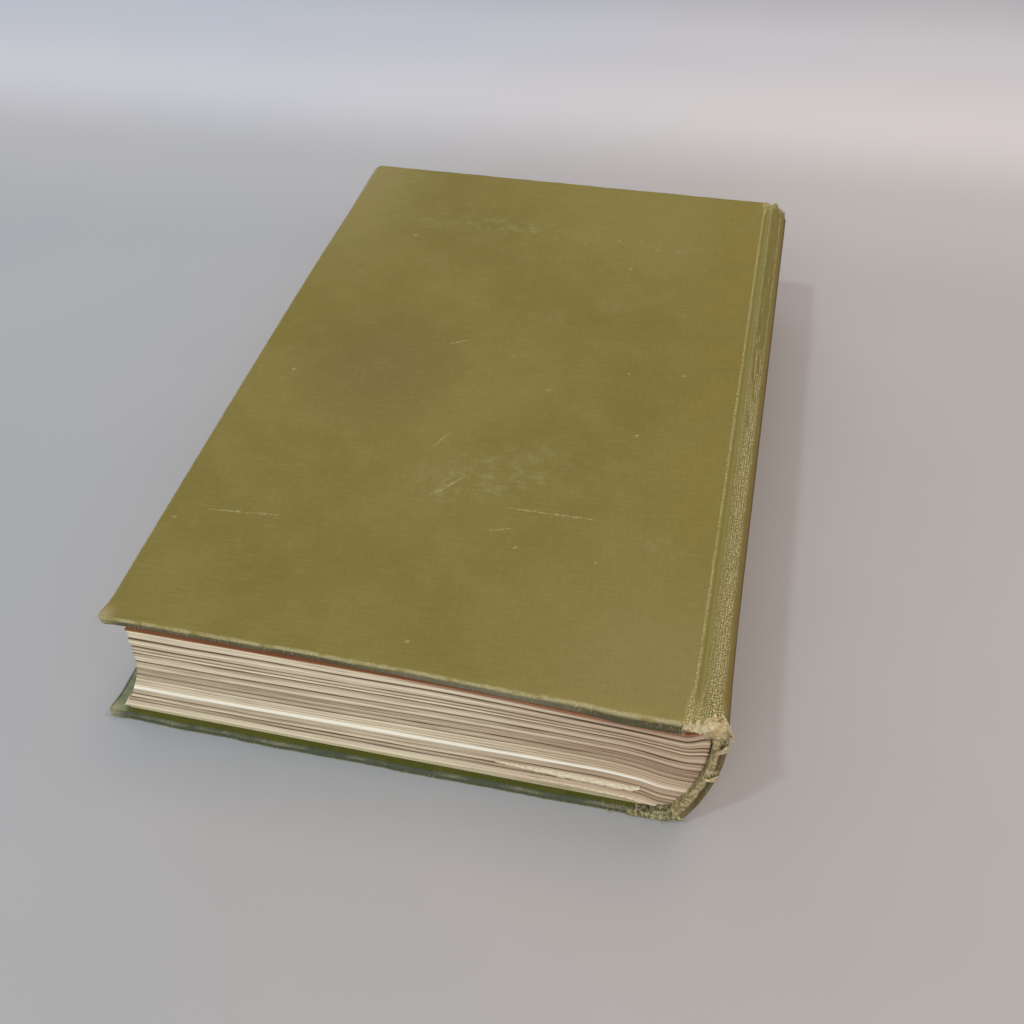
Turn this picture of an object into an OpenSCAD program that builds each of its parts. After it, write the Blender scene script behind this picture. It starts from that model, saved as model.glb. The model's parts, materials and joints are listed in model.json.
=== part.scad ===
// Cloth-bound hardback book lying closed, its spine leaned over with age.
// X runs from the fore edge to the spine, Y along the spine from tail to head, Z up.
// The origin is the middle of the bottom of the whole book's box.

/* [Case] */
// Height of the covers, head to tail
book_h = 205; // [150:1:260]
// Width of a cover, from its fore edge to the back edge of its board
cover_w = 133; // [100:1:180]
// Thickness of the closed book over both covers
book_t = 42; // [30:1:60]
// Thickness of a cover board
board_t = 1.8; // [1.6:0.1:3.2]
// Thickness of the cover cloth
cloth_t = 0.35; // [0.3:0.05:0.6]
// Radius that handling has worn on the outer corners of the boards
corner_r = 2.5; // [1:0.5:6]
// Width of cloth turned in round the edges of the boards and of the spine
turn_in = 15; // [10:1:20]
// How far the top cover has slid towards the spine over the bottom one
lean = 9; // [0:1:12]

/* [Joints] */
// Width of the joint, from the board to the ridge of the spine
joint_w = 3; // [2.5:0.5:6]
// Depth of the groove pressed into the joint
groove_d = 1.5; // [0.6:0.1:1.8]
// Width of the mull glued to the inside of a board
flange_w = 25; // [15:1:35]

/* [Spine] */
// How far the upper side of the spine stands out past the ridge of the top joint
spine_reach = 4.2; // [4:0.1:8]
// The same at the lower side, which the lean has pushed out further
low_reach = 6.5; // [5:0.5:9]
// Height of the spine's round above a straight line between its sides
spine_round = 2.6; // [1.4:0.1:4]
// Radius of the cloth where it turns over a shoulder
shoulder_r = 3.6; // [3.2:0.1:4.2]
// How far the spine cloth stands above the top cover at the shoulder
crest = 0.5; // [0.2:0.1:1]
// Thickness of the card inlay in the spine
inlay_t = 1; // [0.5:0.1:1.4]
// Gap of the hollow between the spine and the lining
hollow = 0.3; // [0.2:0.1:0.8]
// Thickness of the paper lining glued over the mull
lining_t = 0.4; // [0.2:0.1:0.8]
// Thickness of the mull glued to the back of the sections
mull_t = 0.3; // [0.2:0.05:0.5]

/* [Text block] */
// Number of folded and sewn sections
sections = 22; // [14:1:28]
// How far the covers stand past the leaves at head and tail
square_w = 2; // [1.2:0.1:4]
// How far the covers stand past the leaves at the top of the fore edge
fore_square = 3.4; // [1.5:0.1:5]
// Open gap that has come between the top cover and the leaves
gape = 3.4; // [0:0.2:4]
// How far the top leaves sag under the joint
top_sag = 2.2; // [0:0.2:3]
// How far the bottom leaves lift over the lower joint
low_lift = 1; // [0:0.2:1.6]
// How far the lowest leaves have splayed forward
flare = 1.5; // [0:0.2:3]
// Most that one section stands out from the next at the edges
unevenness = 0.3; // [0.1:0.05:0.5]
// Height of the swell in the middle leaves
swell = 2; // [0:0.1:2.4]
// Height of the backed shoulders of the outer sections
backing = 1.2; // [0.4:0.1:1.4]
// Thickness of an endpaper
paper_t = 0.25; // [0.15:0.05:0.4]

/* [Hidden] */

// Slack between the inside of a closed cover and the flyleaf
leaf_gap = 0.15;
// Slack across the line on which a cover turns
hinge_gap = 0.1;
// Height of the lower shoulder of the spine above the table
sole_gap = 0.3;
// Film of glue on each side of the mull
glue = 0.05;
// How much shorter than the turn-ins' inner edges the mull is cut, at head and at tail
mull_short = 4;
// How much shorter than the leaves the lining is cut, at head and at tail
lining_short = 3;
// How far the pastedown stays back from the edge of the leaves at the fore edge
paste_back = 1.2;
// Width of the slit at a mitred corner
mitre_slit = 0.3;
// How far below the shoulder's centre the spine's side is widest
side_drop = 0.4;

// Levels inside a cover, counted from its outer face
board_in = cloth_t + board_t;
lined_in = board_in + max(cloth_t, mull_t);
cover_in = lined_in + paper_t;

// The two ridges on which the covers turn, with x = 0 at the top cover's fore edge
top_ridge = cover_w + joint_w;
low_ridge = top_ridge - lean;

// The leaves
leaf_low = cover_in + leaf_gap + paper_t;
leaf_high = book_t - leaf_low - gape;
leaf_h = book_h - 2 * square_w;
mull_l = book_h - 2 * turn_in - 2 * mull_short;

// Arc of the spine, through its two sides
side_high = [top_ridge + spine_reach, book_t - shoulder_r - side_drop];
side_low = [low_ridge + low_reach, sole_gap + shoulder_r];
chord = side_high - side_low;
half_chord = norm(chord) / 2;
spine_r = (spine_round * spine_round + half_chord * half_chord) / (2 * spine_round);
spine_c = (side_high + side_low) / 2
    + (spine_r - spine_round) * [-chord[1], chord[0]] / norm(chord);

// Layers of the spine, counted inwards from the outer face of its cloth
inlay_d = cloth_t;
wall_d = cloth_t + inlay_t + cloth_t;
lining_d = wall_d + hollow;
mull_d = lining_d + lining_t + glue;
fold_d = mull_d + mull_t + glue;

// Centre of a shoulder that touches the spine's arc from inside and lies level at height z_flat
function shoulder_c(z_c) =
    [spine_c[0] + sqrt(pow(spine_r - shoulder_r, 2) - pow(z_c - spine_c[1], 2)), z_c];
high_c = shoulder_c(book_t + crest - shoulder_r);
low_c = shoulder_c(sole_gap + shoulder_r);
function angle_of(v) = atan2(v[1], v[0]);
high_a = angle_of(high_c - spine_c);
low_a = angle_of(low_c - spine_c);

// Middle of the whole book, which becomes x = 0
spine_x = high_a > 0 ? spine_c[0] + spine_r : high_c[0] + shoulder_r;
mid_x = (spine_x - lean) / 2;

arc_steps = 24;
bend_steps = 8;
wave_steps = 8;
fold_steps = 12;

// Points of an arc from angle a0 to angle a1
function arc(c, r, a0, a1, steps) =
    [for (i = [0:steps]) c + r * [cos(a0 + (a1 - a0) * i / steps), sin(a0 + (a1 - a0) * i / steps)]];

function reversed(pts) = [for (i = [len(pts) - 1:-1:0]) pts[i]];
function clamp01(t) = max(0, min(1, t));
function ease(t) = (1 - cos(180 * clamp01(t))) / 2;
function bump(t) = (1 - cos(360 * clamp01(t))) / 2;

// Round stretch of the spine at depth d under the outer face
function spine_arc(d) = arc(spine_c, spine_r - d, high_a, low_a, arc_steps);

// Whole path of the spine cloth at depth d, from the top ridge over the back to the lower ridge
function spine_path(d) = concat(
    [[top_ridge + hinge_gap / 2, book_t - d]],
    arc(high_c, shoulder_r - d, 90, high_a, bend_steps),
    arc(spine_c, spine_r - d, high_a, low_a, arc_steps),
    arc(low_c, shoulder_r - d, low_a, -90, bend_steps),
    [[low_ridge + hinge_gap / 2, sole_gap + d]]);

// Where the folds of the sections lie at height z
function fold_x(z) = spine_c[0] + sqrt(pow(spine_r - fold_d, 2) - pow(z - spine_c[1], 2));

// Where the leaves end at the fore edge at height z
leaf_w = fold_x(leaf_high) - fore_square;
function fore_x(z) = fold_x(z) - leaf_w - flare * pow((leaf_high - z) / (leaf_high - leaf_low), 3);

// Swell of the middle leaves, s running from the fore edge to the fold
flat_share = 0.02;
swell_share = 0.85;
fold_fall = 0.5;
function wave(s) = s < swell_share
    ? swell * ease((s - flat_share) / (swell_share - flat_share))
    : swell - (swell + fold_fall) * ease((s - swell_share) / (1 - swell_share));

// Sag in front of a joint, at distance u in front of its ridge: slow to come, gone on the shoulder
sag_w = 60;
sag_end = 4;
rise_w = 5;
function sag(u) = u > sag_end
    ? ease((sag_w - u) / (sag_w - sag_end))
    : 1 - ease((sag_end - u) / rise_w);

// Rise over the shoulder less the sag before it
function backed(u, depth) = backing * ease((rise_w / 2 - u) / rise_w) - depth * sag(u);

// Height of the leaf that lies at share t of the thickness, at place x
function level(t) = leaf_low + (leaf_high - leaf_low) * t;
function leaf_z(t, x) = let (s = (x - fore_x(level(t))) / leaf_w)
    level(t) + sin(180 * t) * wave(s)
    + pow(t, 3) * backed(top_ridge - x, top_sag)
    - pow(1 - t, 3) * backed(low_ridge - x, low_lift);

// Where that leaf ends at the back, found by closing in on the round of the folds
function leaf_end(t, turns = 4, x = fold_x(level(0.5))) =
    turns == 0 ? x : leaf_end(t, turns - 1, fold_x(leaf_z(t, x)));

// Places along a leaf as shares of its width, close together over the joint and the shoulder
near_fold = 0.88;
leaf_marks = concat([0, flat_share],
    [for (j = [1:wave_steps]) flat_share + (near_fold - flat_share) * j / wave_steps],
    [for (j = [1:fold_steps]) near_fold + (1 - near_fold) * j / fold_steps]);

// A leaf as points from the fore edge to the fold, drawn back from the fold by short
function leaf_line(t, short = 0) = let (x0 = fore_x(level(t)), x1 = leaf_end(t) - short)
    [for (s = leaf_marks) let (x = x0 + (x1 - x0) * s) [x, leaf_z(t, x)]];

// Depth of the valley between two folds
fold_dip = 0.35;
// Run of plates that stands out at the tail: how far, how thick, and at what share of the thickness
plate_out = 0.3;
plate_h = 1.3;
plate_t = 0.29;
// Torn leaf that sticks out at the tail: how far, how thick, at what share of the thickness, and
// the two stretches that are left of it, as shares of the leaf's width and of how far it sticks out
torn_out = 1.1;
torn_h = 0.35;
torn_t = 0.13;
torn_bits = [[0.74, 0.9, 1], [0.66, 0.725, 0.6]];

fore_steps = rands(-unevenness / 2, unevenness / 2, sections, 7);
tail_steps = rands(0, unevenness, sections, 11);
head_steps = rands(0, unevenness, sections, 23);

// A solid drawn in X and Z and run along the spine from y0 to y1
module along(y0, y1) {
    translate([-mid_x, y1, 0]) rotate([90, 0, 0]) linear_extrude(y1 - y0) children();
}

// One folded section between shares t0 and t1 of the thickness
module section(i) {
    t0 = i / sections;
    t1 = (i + 1) / sections;
    under = leaf_line(t0, fold_dip);
    over = leaf_line(t1, fold_dip);
    back = [for (a = [45, 90, 135])
        let (t = t0 + (t1 - t0) * a / 180, x = leaf_end(t) - fold_dip * (1 - sin(a)))
        [x, leaf_z(t, x)]];
    step = [fore_steps[i], 0];
    trimmed = function(line) [for (j = [0:len(line) - 1]) j == 0 ? line[j] + step : line[j]];
    along(tail_steps[i] - leaf_h / 2, leaf_h / 2 - head_steps[i])
        polygon(concat(trimmed(under), back, reversed(trimmed(over))));
}

// A strip that lies along leaf t from x0 to x1 and is thick by d
module leaf_strip(t, x0, x1, d) {
    steps = 10;
    line = [for (j = [0:steps]) let (x = x0 + (x1 - x0) * j / steps) [x, leaf_z(t, x)]];
    polygon(concat([for (p = line) p - [0, d / 2]], reversed([for (p = line) p + [0, d / 2]])));
}

// The sewn sections, trimmed a little unevenly, with a run of plates and a torn leaf that stand out
module text_block() {
    color([0.82, 0.75, 0.65]) {
        for (i = [0:sections - 1])
            section(i);
        along(-leaf_h / 2 - plate_out, leaf_h / 2 - unevenness)
            leaf_strip(plate_t, fore_x(level(plate_t)) + unevenness,
                leaf_end(plate_t) - 2 * fold_dip, plate_h);
        for (bit = torn_bits)
            along(-leaf_h / 2 - torn_out * bit[2], 0)
                leaf_strip(torn_t, leaf_w * bit[0], leaf_w * bit[1], torn_h);
    }
}

// An endpaper's loose half on the outermost leaf, t = 1 on the top and t = 0 underneath
module flyleaf(t) {
    line = leaf_line(t, fold_dip);
    lift = [0, t > 0.5 ? paper_t : -paper_t];
    along(-leaf_h / 2, leaf_h / 2)
        polygon(concat(line, reversed([for (p = line) p + lift])));
}

module top_flyleaf() {
    color([0.47, 0.25, 0.17]) flyleaf(1);
}

module bottom_flyleaf() {
    color([0.80, 0.72, 0.60]) flyleaf(0);
}

// Part of the outermost leaf's line that lies behind a ridge, lifted by d
function shoulder_line(t, ridge, d) =
    let (line = leaf_line(t, fold_dip), x0 = ridge + hinge_gap / 2)
    [for (j = [1:len(line) - 1]) if (line[j][0] > x0)
        let (a = line[j - 1], b = line[j])
        each a[0] < x0 ? [a + (b - a) * (x0 - a[0]) / (b[0] - a[0]) + [0, d], b + [0, d]] : [b + [0, d]]];

// Open cotton glued round the back of the sections, up to the two ridges
module spine_mull() {
    film = paper_t + glue;
    high_in = shoulder_line(1, top_ridge, film);
    high_out = shoulder_line(1, top_ridge, film + mull_t);
    low_in = shoulder_line(0, low_ridge, -film);
    low_out = shoulder_line(0, low_ridge, -film - mull_t);
    z_high = high_in[len(high_in) - 1][1];
    z_low = low_in[len(low_in) - 1][1];
    r_in = spine_r - mull_d - mull_t;
    r_out = spine_r - mull_d;
    function turn(z, r) = asin((z - spine_c[1]) / r);
    back_in = arc(spine_c, r_in, turn(z_high, r_in), turn(z_low, r_in), arc_steps);
    back_out = arc(spine_c, r_out, turn(z_high + mull_t, r_out), turn(z_low - mull_t, r_out), arc_steps);
    color([0.85, 0.80, 0.68])
        along(-mull_l / 2, mull_l / 2)
            polygon(concat(high_out, back_out, reversed(low_out),
                low_in, reversed(back_in), reversed(high_in)));
}

// Band of the spine between two depths, over its round stretch only
module spine_band(d0, d1) {
    polygon(concat(spine_arc(d0), reversed(spine_arc(d1))));
}

// Strong paper pasted over the mull
module spine_lining() {
    color([0.62, 0.52, 0.38])
        along(lining_short - leaf_h / 2, leaf_h / 2 - lining_short)
            spine_band(lining_d, lining_d + lining_t);
}

// Thin card that stiffens the cloth of the spine
module spine_inlay() {
    color([0.55, 0.48, 0.36])
        along(cloth_t - book_h / 2, book_h / 2 - cloth_t)
            spine_band(inlay_d, inlay_d + inlay_t);
}

// Cloth over the spine, turned in over the ends of the inlay at head and tail
module spine_cloth() {
    color([0.40, 0.36, 0.20]) {
        along(-book_h / 2, book_h / 2)
            polygon(concat(spine_path(0), reversed(spine_path(cloth_t))));
        for (end = [-1, 1]) {
            y_end = end * book_h / 2;
            y_lip = end * (book_h / 2 - cloth_t);
            y_in = end * (book_h / 2 - turn_in);
            along(min(y_end, y_lip), max(y_end, y_lip))
                spine_band(0, wall_d);
            along(min(y_end, y_in), max(y_end, y_in))
                spine_band(wall_d - cloth_t, wall_d);
        }
    }
}

// Outline of a cover seen from above, with its worn outer corners, drawn in by d on three sides
function cover_outline(d) = let (r = corner_r - d, h = book_h / 2 - d)
    concat([[cover_w, -h], [cover_w, h]],
        arc([corner_r, h - r], r, 90, 180, bend_steps),
        arc([corner_r, r - h], r, 180, 270, bend_steps));

// Half section across the joint: a sheet that runs from the board, along the groove and up to the ridge
function joint_line(z_board, d) =
    [for (j = [0:bend_steps]) let (t = j / bend_steps)
        [cover_w + (joint_w - hinge_gap / 2) * t,
            d + groove_d * bump(0.5 * ease(t * 2) + 0.5 * ease(t * 2 - 1))
            + (z_board - d) * (1 - ease(t * 2))]];

module joint_strip(z0, d0, z1, d1) {
    polygon(concat(joint_line(z0, d0), reversed(joint_line(z1, d1))));
}

// Places a piece of a cover, drawn outer face down with its fore edge at x = 0
module in_cover(is_top) {
    if (is_top)
        translate([-mid_x, 0, book_t]) mirror([0, 0, 1]) children();
    else
        translate([-mid_x - lean, 0, 0]) children();
}

// The same for a section drawn in X and Z
module in_cover_along(y0, y1) {
    translate([0, y1, 0]) rotate([90, 0, 0]) linear_extrude(y1 - y0) children();
}

module board() {
    translate([0, 0, cloth_t]) linear_extrude(board_t) polygon(cover_outline(cloth_t));
}

// Slit of the mitre where two turn-ins meet at an outer corner
module mitre(end) {
    translate([corner_r / 2, end * (book_h / 2 - corner_r / 2), board_in])
        rotate([0, 0, -45 * end])
            translate([0, -mitre_slit / 2, 0]) cube([turn_in * 1.5, mitre_slit, 2 * cloth_t]);
}

// Cloth of one cover: its outer face, the wrap round three edges, the mitred turn-ins and the joint
module cover_cloth() {
    difference() {
        linear_extrude(board_in + cloth_t) polygon(cover_outline(0));
        translate([0, 0, cloth_t]) linear_extrude(board_t) polygon(
            [for (p = cover_outline(cloth_t)) p[0] == cover_w ? p + [1, 0] : p]);
        translate([turn_in, turn_in - book_h / 2, board_in])
            cube([cover_w, book_h - 2 * turn_in, 2 * cloth_t]);
        mitre(-1);
        mitre(1);
    }
    in_cover_along(-book_h / 2, book_h / 2)
        joint_strip(0, 0, cloth_t, cloth_t);
    for (end = [-1, 1]) {
        y_end = end * book_h / 2;
        y_in = end * (book_h / 2 - turn_in);
        in_cover_along(min(y_end, y_in), max(y_end, y_in))
            joint_strip(board_in, cloth_t, board_in + cloth_t, 2 * cloth_t);
    }
}

// Edge of the mull glued to the inside of the board and across the joint
module mull_flange() {
    translate([cover_w - flange_w, -mull_l / 2, board_in]) cube([flange_w, mull_l, mull_t]);
    in_cover_along(-mull_l / 2, mull_l / 2)
        joint_strip(board_in, cloth_t, board_in + mull_t, cloth_t + mull_t);
}

// Endpaper's pasted half, stepped over the turn-ins and the mull
module pastedown() {
    field_x = turn_in + paper_t;
    field_h = book_h - 2 * turn_in - 2 * paper_t;
    margin = fore_square + paste_back;
    difference() {
        translate([margin, -leaf_h / 2, board_in])
            cube([cover_w - margin, leaf_h, cover_in - board_in]);
        difference() {
            translate([0, -book_h / 2, board_in])
                cube([cover_w, book_h, lined_in - board_in]);
            translate([turn_in, turn_in - book_h / 2, board_in])
                cube([cover_w, book_h - 2 * turn_in, lined_in - board_in]);
        }
        translate([cover_w - flange_w, -mull_l / 2, board_in])
            cube([flange_w, mull_l, lined_in - board_in]);
        translate([field_x, -field_h / 2, board_in + paper_t])
            cube([cover_w - flange_w - paper_t - field_x, field_h, cover_in]);
    }
    in_cover_along(-leaf_h / 2, leaf_h / 2)
        joint_strip(lined_in, 2 * cloth_t, cover_in, 2 * cloth_t + paper_t);
}

board_grey = [0.52, 0.47, 0.38];
cover_olive = [0.49, 0.45, 0.25];
mull_cream = [0.85, 0.80, 0.68];

module top_board() {
    color(board_grey) in_cover(true) board();
}

module top_cover_cloth() {
    color(cover_olive) in_cover(true) cover_cloth();
}

module top_mull_flange() {
    color(mull_cream) in_cover(true) mull_flange();
}

module top_pastedown() {
    color([0.47, 0.25, 0.17]) in_cover(true) pastedown();
}

module bottom_board() {
    color(board_grey) in_cover(false) board();
}

module bottom_cover_cloth() {
    color([0.38, 0.40, 0.17]) in_cover(false) cover_cloth();
}

module bottom_mull_flange() {
    color(mull_cream) in_cover(false) mull_flange();
}

module bottom_pastedown() {
    color([0.80, 0.72, 0.60]) in_cover(false) pastedown();
}

text_block();
top_flyleaf();
bottom_flyleaf();
spine_mull();
spine_lining();
spine_inlay();
spine_cloth();
top_board();
top_cover_cloth();
top_mull_flange();
top_pastedown();
bottom_board();
bottom_cover_cloth();
bottom_mull_flange();
bottom_pastedown();
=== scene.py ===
"""The looks of an old cloth-bound hardback book that lies closed, its spine leaned over with age.

X runs from the fore edge to the spine, Y from the near end (the tail) to the far end (the head), Z up.
Shapes are worked out in millimetres, and solid() turns them to metres when it makes the mesh.
"""

import json
import math

import bpy
import numpy as np
from mathutils import Matrix, Vector


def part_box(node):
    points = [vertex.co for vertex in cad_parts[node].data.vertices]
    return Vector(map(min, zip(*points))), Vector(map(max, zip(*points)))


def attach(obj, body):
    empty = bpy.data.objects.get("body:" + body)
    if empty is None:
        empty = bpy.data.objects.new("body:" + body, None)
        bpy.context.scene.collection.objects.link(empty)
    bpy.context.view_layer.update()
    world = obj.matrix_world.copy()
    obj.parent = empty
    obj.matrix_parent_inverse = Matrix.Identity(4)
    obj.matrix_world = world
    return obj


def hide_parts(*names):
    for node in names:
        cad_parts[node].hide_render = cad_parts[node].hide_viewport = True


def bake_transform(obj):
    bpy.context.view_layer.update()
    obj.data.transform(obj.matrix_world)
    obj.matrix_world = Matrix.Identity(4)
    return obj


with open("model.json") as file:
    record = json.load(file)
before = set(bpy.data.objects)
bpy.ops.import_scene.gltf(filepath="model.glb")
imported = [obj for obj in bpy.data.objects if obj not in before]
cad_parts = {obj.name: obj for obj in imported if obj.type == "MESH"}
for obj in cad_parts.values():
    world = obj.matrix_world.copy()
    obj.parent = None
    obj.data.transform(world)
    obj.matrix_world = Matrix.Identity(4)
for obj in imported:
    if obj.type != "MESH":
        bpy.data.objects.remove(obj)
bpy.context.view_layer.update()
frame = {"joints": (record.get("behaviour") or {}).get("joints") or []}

# Camera
# It stands where the photograph was taken from, which the corners of both covers gave: in front of the
# tail, a little to the spine's side, and looking down at 46 degrees.
eye = Vector((0.06563, -0.23883, 0.23988))
azimuth = math.radians(14.31)
elevation = math.radians(45.71)
roll = math.radians(-1.88)
camera = bpy.data.objects.new("camera", bpy.data.cameras.new("camera"))
camera.data.lens = 40.13
camera.data.clip_start = 0.01
camera.matrix_world = (
    Matrix.Translation(eye)
    @ Matrix.Rotation(azimuth, 4, "Z")
    @ Matrix.Rotation(math.pi / 2 - elevation, 4, "X")
    @ Matrix.Rotation(roll, 4, "Z")
)
bpy.context.scene.collection.objects.link(camera)
bpy.context.scene.camera = camera


# Text block
# Folded and sewn sections of book paper, browned at the edges, with a run of whiter plate paper in it.
# They were trimmed together, and have since worked a little out of line, sagged and lifted at the joints.
def solid(name, points, faces, values=None):
    """A mesh object from points in millimetres, with numbers stored on its points."""
    mesh = bpy.data.meshes.new(name)
    mesh.from_pydata([tuple(p) for p in np.asarray(points) / 1000], [], [tuple(f) for f in faces])
    for key, numbers in (values or {}).items():
        layer = mesh.attributes.new(key, "FLOAT", "POINT")
        layer.data.foreach_set("value", np.asarray(numbers, np.float32).ravel())
    mesh.polygons.foreach_set("use_smooth", [True] * len(mesh.polygons))
    mesh.validate()
    made = bpy.data.objects.new(name, mesh)
    bpy.context.scene.collection.objects.link(made)
    return made


def ease(t):
    """From 0 to 1, with a soft start and a soft end."""
    return (1 - np.cos(np.pi * np.clip(t, 0, 1))) / 2


def grid_faces(rows, cols):
    """The faces between rows of points."""
    corners = [i * cols + j for i in range(rows - 1) for j in range(cols - 1)]
    return [(a, a + cols, a + cols + 1, a + 1) for a in corners]


def hill(x, middle, width):
    """1 at the middle, falling off smoothly to near 0 at twice the width."""
    return np.exp(-(((x - middle) / width) ** 2))


def wobble(x, seed, wave):
    """Smooth random numbers from -1 to 1 along x, which change over about one wave."""
    draw = np.random.default_rng(seed)
    waves = wave * draw.uniform(0.6, 2.4, 5)
    return sum(np.sin(2 * np.pi * (x / w + p)) for w, p in zip(waves, draw.uniform(0, 1, 5))) / 3


ridge = {j["name"]: j["pos_m"][0] * 1000 for j in frame["joints"]}
top_ridge = ridge["top_cover_joint"]
low_ridge = ridge["bottom_cover_joint"]
cover_low, cover_high = (np.array(c) * 1000 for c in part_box("top_cover_cloth"))
book_t = cover_high[2]
half_h = cover_high[1]
shoulder_r = 3.6
side_high = np.array([top_ridge + 4.2, book_t - shoulder_r - 0.4])
side_low = np.array([low_ridge + 6.5, shoulder_r + 0.3])
spine_round = 2.6
chord = side_high - side_low
half_chord = np.hypot(*chord) / 2
spine_r = (spine_round**2 + half_chord**2) / (2 * spine_round)
inward = np.array([-chord[1], chord[0]]) / np.hypot(*chord)
spine_c = (side_high + side_low) / 2 + (spine_r - spine_round) * inward

leaf_low = 3.15
leaf_high = 35.45
leaf_half = half_h - 2.0
leaf_depth = 2.85
fold_dip = 0.35
swell = 2.0
backing = 1.2
flare = 1.5
fore_square = 3.4


def level(t):
    return leaf_low + (leaf_high - leaf_low) * t


def fold_x(z):
    return spine_c[0] + np.sqrt((spine_r - leaf_depth) ** 2 - (z - spine_c[1]) ** 2)


leaf_w = fold_x(leaf_high) - (cover_low[0] + fore_square)


def fore_x(t):
    return fold_x(level(t)) - leaf_w - flare * (1 - t) ** 3


def swelling(s):
    rise = swell * ease((s - 0.02) / 0.83)
    fall = swell - (swell + 0.5) * ease((s - 0.85) / 0.15)
    return np.where(s < 0.85, rise, fall)


def backed(u, depth):
    """Sag in front of a joint, u in front of its ridge, and the rise over the shoulder behind it."""
    sag = np.where(u > 4, ease((60 - u) / 56), 1 - ease((4 - u) / 5))
    return backing * ease((2.5 - u) / 5) - depth * sag


def leaf_z(t, x):
    s = (x - fore_x(t)) / leaf_w
    top = t**3 * backed(top_ridge - x, 2.2)
    low = (1 - t) ** 3 * backed(low_ridge - x, 1.0)
    return level(t) + np.sin(np.pi * t) * swelling(s) + top - low


def leaf_end(t):
    x = fold_x(level(0.5)) + 0 * t
    for _ in range(5):
        x = fold_x(leaf_z(t, x))
    return x - fold_dip


sections = 22
bundles = 5
layers = sections * bundles
plates = (0.27, 0.308)
edge_of_leaf = np.arange(layers)[:, None] + np.array([0.0, 0.24, 0.78])
row_t = np.append(edge_of_leaf.ravel(), layers) / layers
row_layer = np.minimum(np.repeat(np.arange(layers + 1), 3)[: len(row_t)], layers - 1)
row_valley = np.append(np.tile([1.0, 0.0, 0.0], layers), 1.0)
is_plate = (row_t > plates[0]) & (row_t < plates[1])

draw = np.random.default_rng(7)
section_out = draw.uniform(-0.22, 0.22, sections)
bundle_out = draw.normal(0, 0.07, layers)
step_out = section_out[np.arange(layers) // bundles] + bundle_out
first = np.arange(layers) % bundles == 0
valley_in = np.where(first, draw.uniform(0.25, 0.6, layers), draw.uniform(0.02, 0.16, layers))
valley_in = np.where(draw.uniform(0, 1, layers) < 0.12, draw.uniform(0.25, 0.5, layers), valley_in)
tone = np.repeat(draw.uniform(-1, 1, sections), bundles) * 0.6 + draw.uniform(-1, 1, layers) * 0.7
depth_of_row = row_valley * valley_in[row_layer]
for neighbour in (np.roll(depth_of_row, 1), np.roll(depth_of_row, -1)):
    depth_of_row = np.where(neighbour > 0.24, np.maximum(depth_of_row, 0.8 * neighbour), depth_of_row)

tail_s = np.concatenate([np.linspace(1, 0.88, 24), np.linspace(0.87, 0.02, 62), [0.01, 0.004, 0]])
fore_y = np.linspace(0.6 - leaf_half, leaf_half - 0.6, 100)
head_s = np.concatenate([[0, 0.004, 0.01], np.linspace(0.03, 0.87, 26), np.linspace(0.89, 1, 12)])
back_y = np.append(np.linspace(leaf_half - 20, 20 - leaf_half, 4), 3 - leaf_half)


def relief(along, seed):
    """How far each row of a trimmed face stands out at places along it."""
    out = np.zeros((len(row_t), len(along)))
    for r in range(len(row_t)):
        k = row_layer[r]
        drift = 0.07 * wobble(along, seed + 900 + k // bundles, 60) + 0.03 * wobble(along, seed + k, 14)
        out[r] = step_out[k] + drift
        out[r] -= depth_of_row[r] * (0.75 + 0.5 * wobble(along, seed + 300 + k, 25))
        if is_plate[r]:
            out[r] = 0.3 + 0.05 * wobble(along, seed + 600, 80) - 0.03 * row_valley[r]
    return out


start_x = fore_x(row_t)
end_x = leaf_end(row_t)
columns = []
for side, shares, seed in ((-1, tail_s, 40), (1, head_s, 50)):
    spread = (0.45 + 1.3 * (1 - row_t) ** 1.5)[:, None] * ease((shares - 0.9) / 0.1) * (side < 0)
    x = start_x[:, None] + (end_x - start_x)[:, None] * shares + spread
    out = relief(shares * leaf_w, seed)
    y = side * (leaf_half + out)
    columns.append(np.stack([x, y, leaf_z(row_t[:, None], x)], axis=2))
tail_wall, head_wall = columns
x = start_x[:, None] - relief(fore_y, 60)
fore_wall = np.stack([x, 0 * x + fore_y, leaf_z(row_t[:, None], start_x[:, None]) + 0 * x], axis=2)
x = end_x[:, None] + 0 * back_y
back_wall = np.stack([x, 0 * x + back_y, leaf_z(row_t[:, None], x)], axis=2)
wall = np.concatenate([tail_wall, fore_wall, head_wall, back_wall], axis=1)
# Places along tail, fore edge, head and back, set so far apart that the sides don't share their stains
along = np.concatenate([tail_s * leaf_w, 200 + fore_y, 500 + head_s * leaf_w, 800 + back_y])

n_rows, n_cols = wall.shape[:2]
faces = []
for r in range(n_rows - 1):
    for c in range(n_cols):
        d = (c + 1) % n_cols
        faces.append((r * n_cols + c, (r + 1) * n_cols + c, (r + 1) * n_cols + d, r * n_cols + d))
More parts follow.
